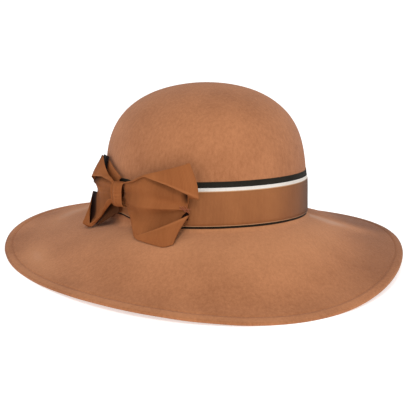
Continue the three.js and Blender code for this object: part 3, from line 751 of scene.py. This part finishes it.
def front_shade(fold_at, width, pocket_shade_from):
    """Painted shade on the outer face, under the flaps and in the folds: 0 where none, -1 where darkest."""
    outwards = np.linspace(0, 1, WING_STEPS)[:, None]
    columns = np.arange(width)

    def near_folds(folds, shares):
        return np.interp(columns, [fold_at[k] for k in folds], shares)[None]

    upper_pocket = fade(outwards, pocket_shade_from, 1) ** 0.7 * near_folds((2, 3, 4, 5), (0, 1, 1, 0))
    at_knot = np.clip(1 - outwards / 0.6, 0, 1) ** 0.5 * near_folds((4, 5, 7, 8), (0, 1, 1, 0))
    below = near_folds((6, 7, 9), (0, 1, 0.5))
    beside = near_folds((3, 4, 5), (1, 0.5, 0))
    far_out = fade(outwards, 0.3, 0.7)
    shade = -0.8 * upper_pocket - 0.22 * at_knot - far_out * (0.3 * below + 0.3 * beside)
    shade *= np.interp(columns, (fold_at[2], fold_at[3], fold_at[9], fold_at[9] + 1), (0, 1, 1, 0))[None]
    return np.minimum(shade, -0.7 * swell(columns, fold_at[9], 1.3)[None] * far_out)


def back_shade(rows, columns):
    """Painted shade on the inner face of the layer behind. It fades inwards, except on its lower part."""
    past_turn = np.clip(np.arange(rows) - TURN_ROWS - LEAD_ROWS, 0, None)[:, None] / BACK_ROWS
    lower = fade(np.linspace(0, 1, columns), 0.45, 0.75)[None]
    shade = np.clip(1 - 6 * past_turn, 0, 1) * (1 - lower) + 0.76 * lower
    shade[:3] *= np.array((0.3, 0.6, 0.9))[:, None]
    return shade


def cloth_map(along, across):
    """Metres along the ribbon and shares across it, for a grid of points."""
    return np.stack(np.broadcast_arrays(along[:, None], across[None]), -1).reshape(-1, 2)


def wing(name, folds, backing, reach, side, tuck, pocket_shade_from, node_name):
    """One loop: its folded front, the layer behind it, and the cloth tucked into its two pockets."""
    lines = fold_lines(folds, WING_STEPS - 1)
    under_knot = (UNDER_KNOT / reach, 0, 0)
    sheet, fold_at = across_folds(np.concatenate((lines[:1] - under_knot, lines)), [row[5] for row in folds])
    width = sheet.shape[1]
    first, last = fold_at[4], fold_at[7]
    behind = layer_behind(sheet[-1, first : last + 1], backing, folds[0][0][0])
    behind = np.concatenate((behind, behind[-1:] - under_knot))
    back_width = last - first + 1
    grid = np.concatenate((sheet.reshape(-1, 3), behind.reshape(-1, 3)))
    numbers = np.arange(len(grid))
    front_rows = numbers[: WING_STEPS * width].reshape(WING_STEPS, width)
    back_rows = numbers[WING_STEPS * width :].reshape(-1, back_width)
    back_rows = np.vstack((front_rows[-1:, first : last + 1], back_rows))
    at_neck = slice(round(back_width / 3), round(back_width * 2 / 3) + 1)
    faces = faces_between(front_rows) + faces_between(back_rows[:-4])
    faces += faces_between(back_rows[-5:, at_neck])

    flaps = ((list(range(0, fold_at[2] + 1)), first), (list(range(width - 1, fold_at[9] - 1, -1)), last))
    # The cloth tucked into the pockets gets painted shade all over, a little less at its sides.
    pocket_shade = []
    for flap, start in flaps:
        mates, pocket_faces = pocket(front_rows[-1], flap, start, len(grid))
        faces += pocket_faces
        here, there = sheet[-1, flap], sheet[-1, mates]
        for share in TUCK_SHARES:
            inset = np.minimum(1, np.arange(len(flap)) * 5 / len(flap)) * np.sin(pi * share) ** 0.6
            within = here + (there - here) * share - np.outer(inset * tuck, (1, 0, 0))
            grid = np.concatenate((grid, within))
            pocket_shade += [-0.94 if share in (TUCK_SHARES[0], TUCK_SHARES[-1]) else -1.0] * len(flap)
    points = on_bow(*(grid * (side * reach, WING_RISE, WING_DEPTH)).T)

    front_map = cloth_map(np.linspace(0, reach, WING_STEPS), np.linspace(0, 1, width))
    back_map = cloth_map(reach + np.arange(1, len(behind) + 1) * 0.003, np.linspace(0.1, 0.9, back_width))
    pocket_map = np.tile((reach, 0.5), (len(pocket_shade), 1))
    shade_parts = front_shade(fold_at, width, pocket_shade_from), back_shade(len(behind), back_width)
    shade = np.concatenate([part.ravel() for part in shade_parts] + [pocket_shade])
    piece = piece_from(name, points, faces, np.vstack((front_map, back_map, pocket_map)), shade * side)
    piece.data.materials.append(bow_ribbon)
    piece.data.materials.append(bow_ribbon_inside)
    solid = piece.modifiers.new("cloth", "SOLIDIFY")
    solid.thickness = CLOTH_THICKNESS
    solid.offset = 0
    solid.material_offset = 1
    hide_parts(node_name)
    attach(piece, "root")


wing(
    "bow_wing_front",
    folds=FRONT_FOLDS,
    backing=(FRONT_OUTER, FRONT_INNER),
    reach=FRONT_REACH,
    side=1,
    tuck=0.04,
    pocket_shade_from=0.94,
    node_name="bow_front_wing",
)
wing(
    "bow_wing_back",
    folds=BACK_FOLDS,
    backing=(BACK_OUTER, BACK_INNER),
    reach=BACK_REACH,
    side=-1,
    tuck=-0.1,
    pocket_shade_from=0.72,
    node_name="bow_back_wing",
)

# Pinch stitches
#
# Four short stitches of russet thread, sewn by hand over the pinched outer end of the front loop. They hold
# its folds together there and catch it down to the band.
PINCH_PITCH, PINCH_LENGTH, PINCH_THREAD = 0.0012, 0.0017, 0.0006
PINCH_STITCHES = (
    ((0.79, -0.19, 0.36), (0.83, -0.31, 0.28)),
    ((0.815, -0.2, 0.33), (0.85, -0.33, 0.25)),
    ((0.84, -0.2, 0.28), (0.87, -0.35, 0.2)),
    ((0.785, -0.26, 0.34), (0.88, -0.27, 0.2)),
)
russet_thread = thread_material("russet_thread", (0.22, 0.055, 0.02), (0.38, 0.11, 0.045), 0.7, 0)
for number, (start, stop) in enumerate(PINCH_STITCHES, 1):
    path = on_bow(*(np.linspace(start, stop, 7) * (FRONT_REACH, WING_RISE, WING_DEPTH)).T)
    name = f"pinch_stitch_{number}"
    stitches(name, path, False, PINCH_PITCH, PINCH_LENGTH, PINCH_THREAD, russet_thread)

# Knot of the bow
#
# A short length of the brown ribbon, pleated narrow and wrapped round the necks of both loops. Its ends are
# sewn behind, against the band.
KNOT_WIDTH, KNOT_RISE, KNOT_MIDDLE, KNOT_GAP = 0.0135, 0.0104, 0.00615, 0.0003
KNOT_THICKNESS, KNOT_HALF_GIRTH, KNOT_SIDES = 0.0006, 0.03, 72
# How far each pleat stands out, its middle and its spread, the last two as shares of the width.
PLEATS = ((0.0009, -0.4, 0.06), (-0.0022, -0.29, 0.04), (-0.0006, 0.12, 0.05))
knot_angles = np.arange(KNOT_SIDES) * tau / KNOT_SIDES
knot_rows = np.linspace(-0.5, 0.5, 49)


def knot_loop(row, inset):
    """One turn of the wrap at a share of its width from the middle, its surface set in by a distance."""
    pleat = sum(out * swell(row, middle, spread) for out, middle, spread in PLEATS)
    # Between its pleats the wrap bulges, and it falls off most towards the front loop.
    pleat += 0.0016 - 0.006 * (row - 0.02) ** 2 - 0.009 * max(row, 0) ** 2
    front, up = np.cos(knot_angles), np.sin(knot_angles)
    rounded_front, rounded_up = (np.sign(part) * np.abs(part) ** 0.6 for part in (front, up))
    half_depth = KNOT_MIDDLE - KNOT_GAP - inset
    out = KNOT_MIDDLE + half_depth * rounded_front + pleat * np.clip(front, 0, None) ** 0.5
    taper = 0.82 + 0.14 * up - 0.06 * front
    return on_bow(0.0006 + row * KNOT_WIDTH * taper, (KNOT_RISE - inset) * rounded_up, out)


outer = [knot_loop(row, 0) for row in knot_rows]
inner = [knot_loop(row, KNOT_THICKNESS) for row in knot_rows[::-1]]
knot_points, knot_faces = rings_mesh(outer + inner, looped=True)
knot_round = np.tile(np.abs(knot_angles / pi - 1) * KNOT_HALF_GIRTH, 2 * len(knot_rows))
knot_across = np.repeat(np.concatenate((knot_rows, knot_rows[::-1])) + 0.5, KNOT_SIDES)
knot = piece_from("bow_knot_wrap", knot_points, knot_faces, np.stack((knot_round, knot_across), -1))
knot.data.materials.append(bow_ribbon)
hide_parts("bow_knot")
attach(knot, "root")

# Studio
#
# A plain pale floor that glows a little, a bright surround that is dimmer behind and above the hat, and one
# round soft light high over the camera.
FLOOR_HALF = 6
floor_corners = [(-FLOOR_HALF, -FLOOR_HALF, 0), (FLOOR_HALF, -FLOOR_HALF, 0)]
floor_corners += [(FLOOR_HALF, FLOOR_HALF, 0), (-FLOOR_HALF, FLOOR_HALF, 0)]
floor_mesh = bpy.data.meshes.new("studio_floor")
floor_mesh.from_pydata(floor_corners, [], [(0, 1, 2, 3)])
floor = bpy.data.objects.new("studio_floor", floor_mesh)
scene.collection.objects.link(floor)
pale = bpy.data.materials.new("pale_floor")
node = node_maker(pale)
pale_surface = node(
    "ShaderNodeBsdfPrincipled",
    {
        "Base Color": (0.8, 0.8, 0.8, 1),
        "Roughness": 0.9,
        "Emission Color": (1, 1, 1, 1),
        "Emission Strength": 0.55,
    },
)
node("ShaderNodeOutputMaterial", {"Surface": pale_surface.outputs[0]})
floor_mesh.materials.append(pale)

world = bpy.data.worlds.new("studio")
node = node_maker(world)
sky = node("ShaderNodeTexCoord").outputs["Generated"]
back_and_up = node("ShaderNodeVectorMath", {0: sky, 1: (0, 0.6, 0.6)}, operation="DOT_PRODUCT")
sky_color = ramp(node, back_and_up.outputs["Value"], (0.1, (1, 1, 1)), (0.9, (0.42, 0.42, 0.42)))
background = node("ShaderNodeBackground", {"Color": sky_color, "Strength": 0.95})
node("ShaderNodeOutputWorld", {"Surface": background.outputs[0]})
scene.world = world

KEY_PLACE, KEY_AIM = Vector((-0.6, -1.5, 1.55)), Vector((0, 0, 0.06))
key_light = bpy.data.lights.new("key", "AREA")
key_light.shape = "DISK"
key_light.size = 0.5
key_light.energy = 14.2
key = bpy.data.objects.new("key", key_light)
key.location = KEY_PLACE
key.rotation_euler = (KEY_AIM - KEY_PLACE).to_track_quat("-Z", "Y").to_euler()
scene.collection.objects.link(key)
scene.view_settings.view_transform = "Standard"
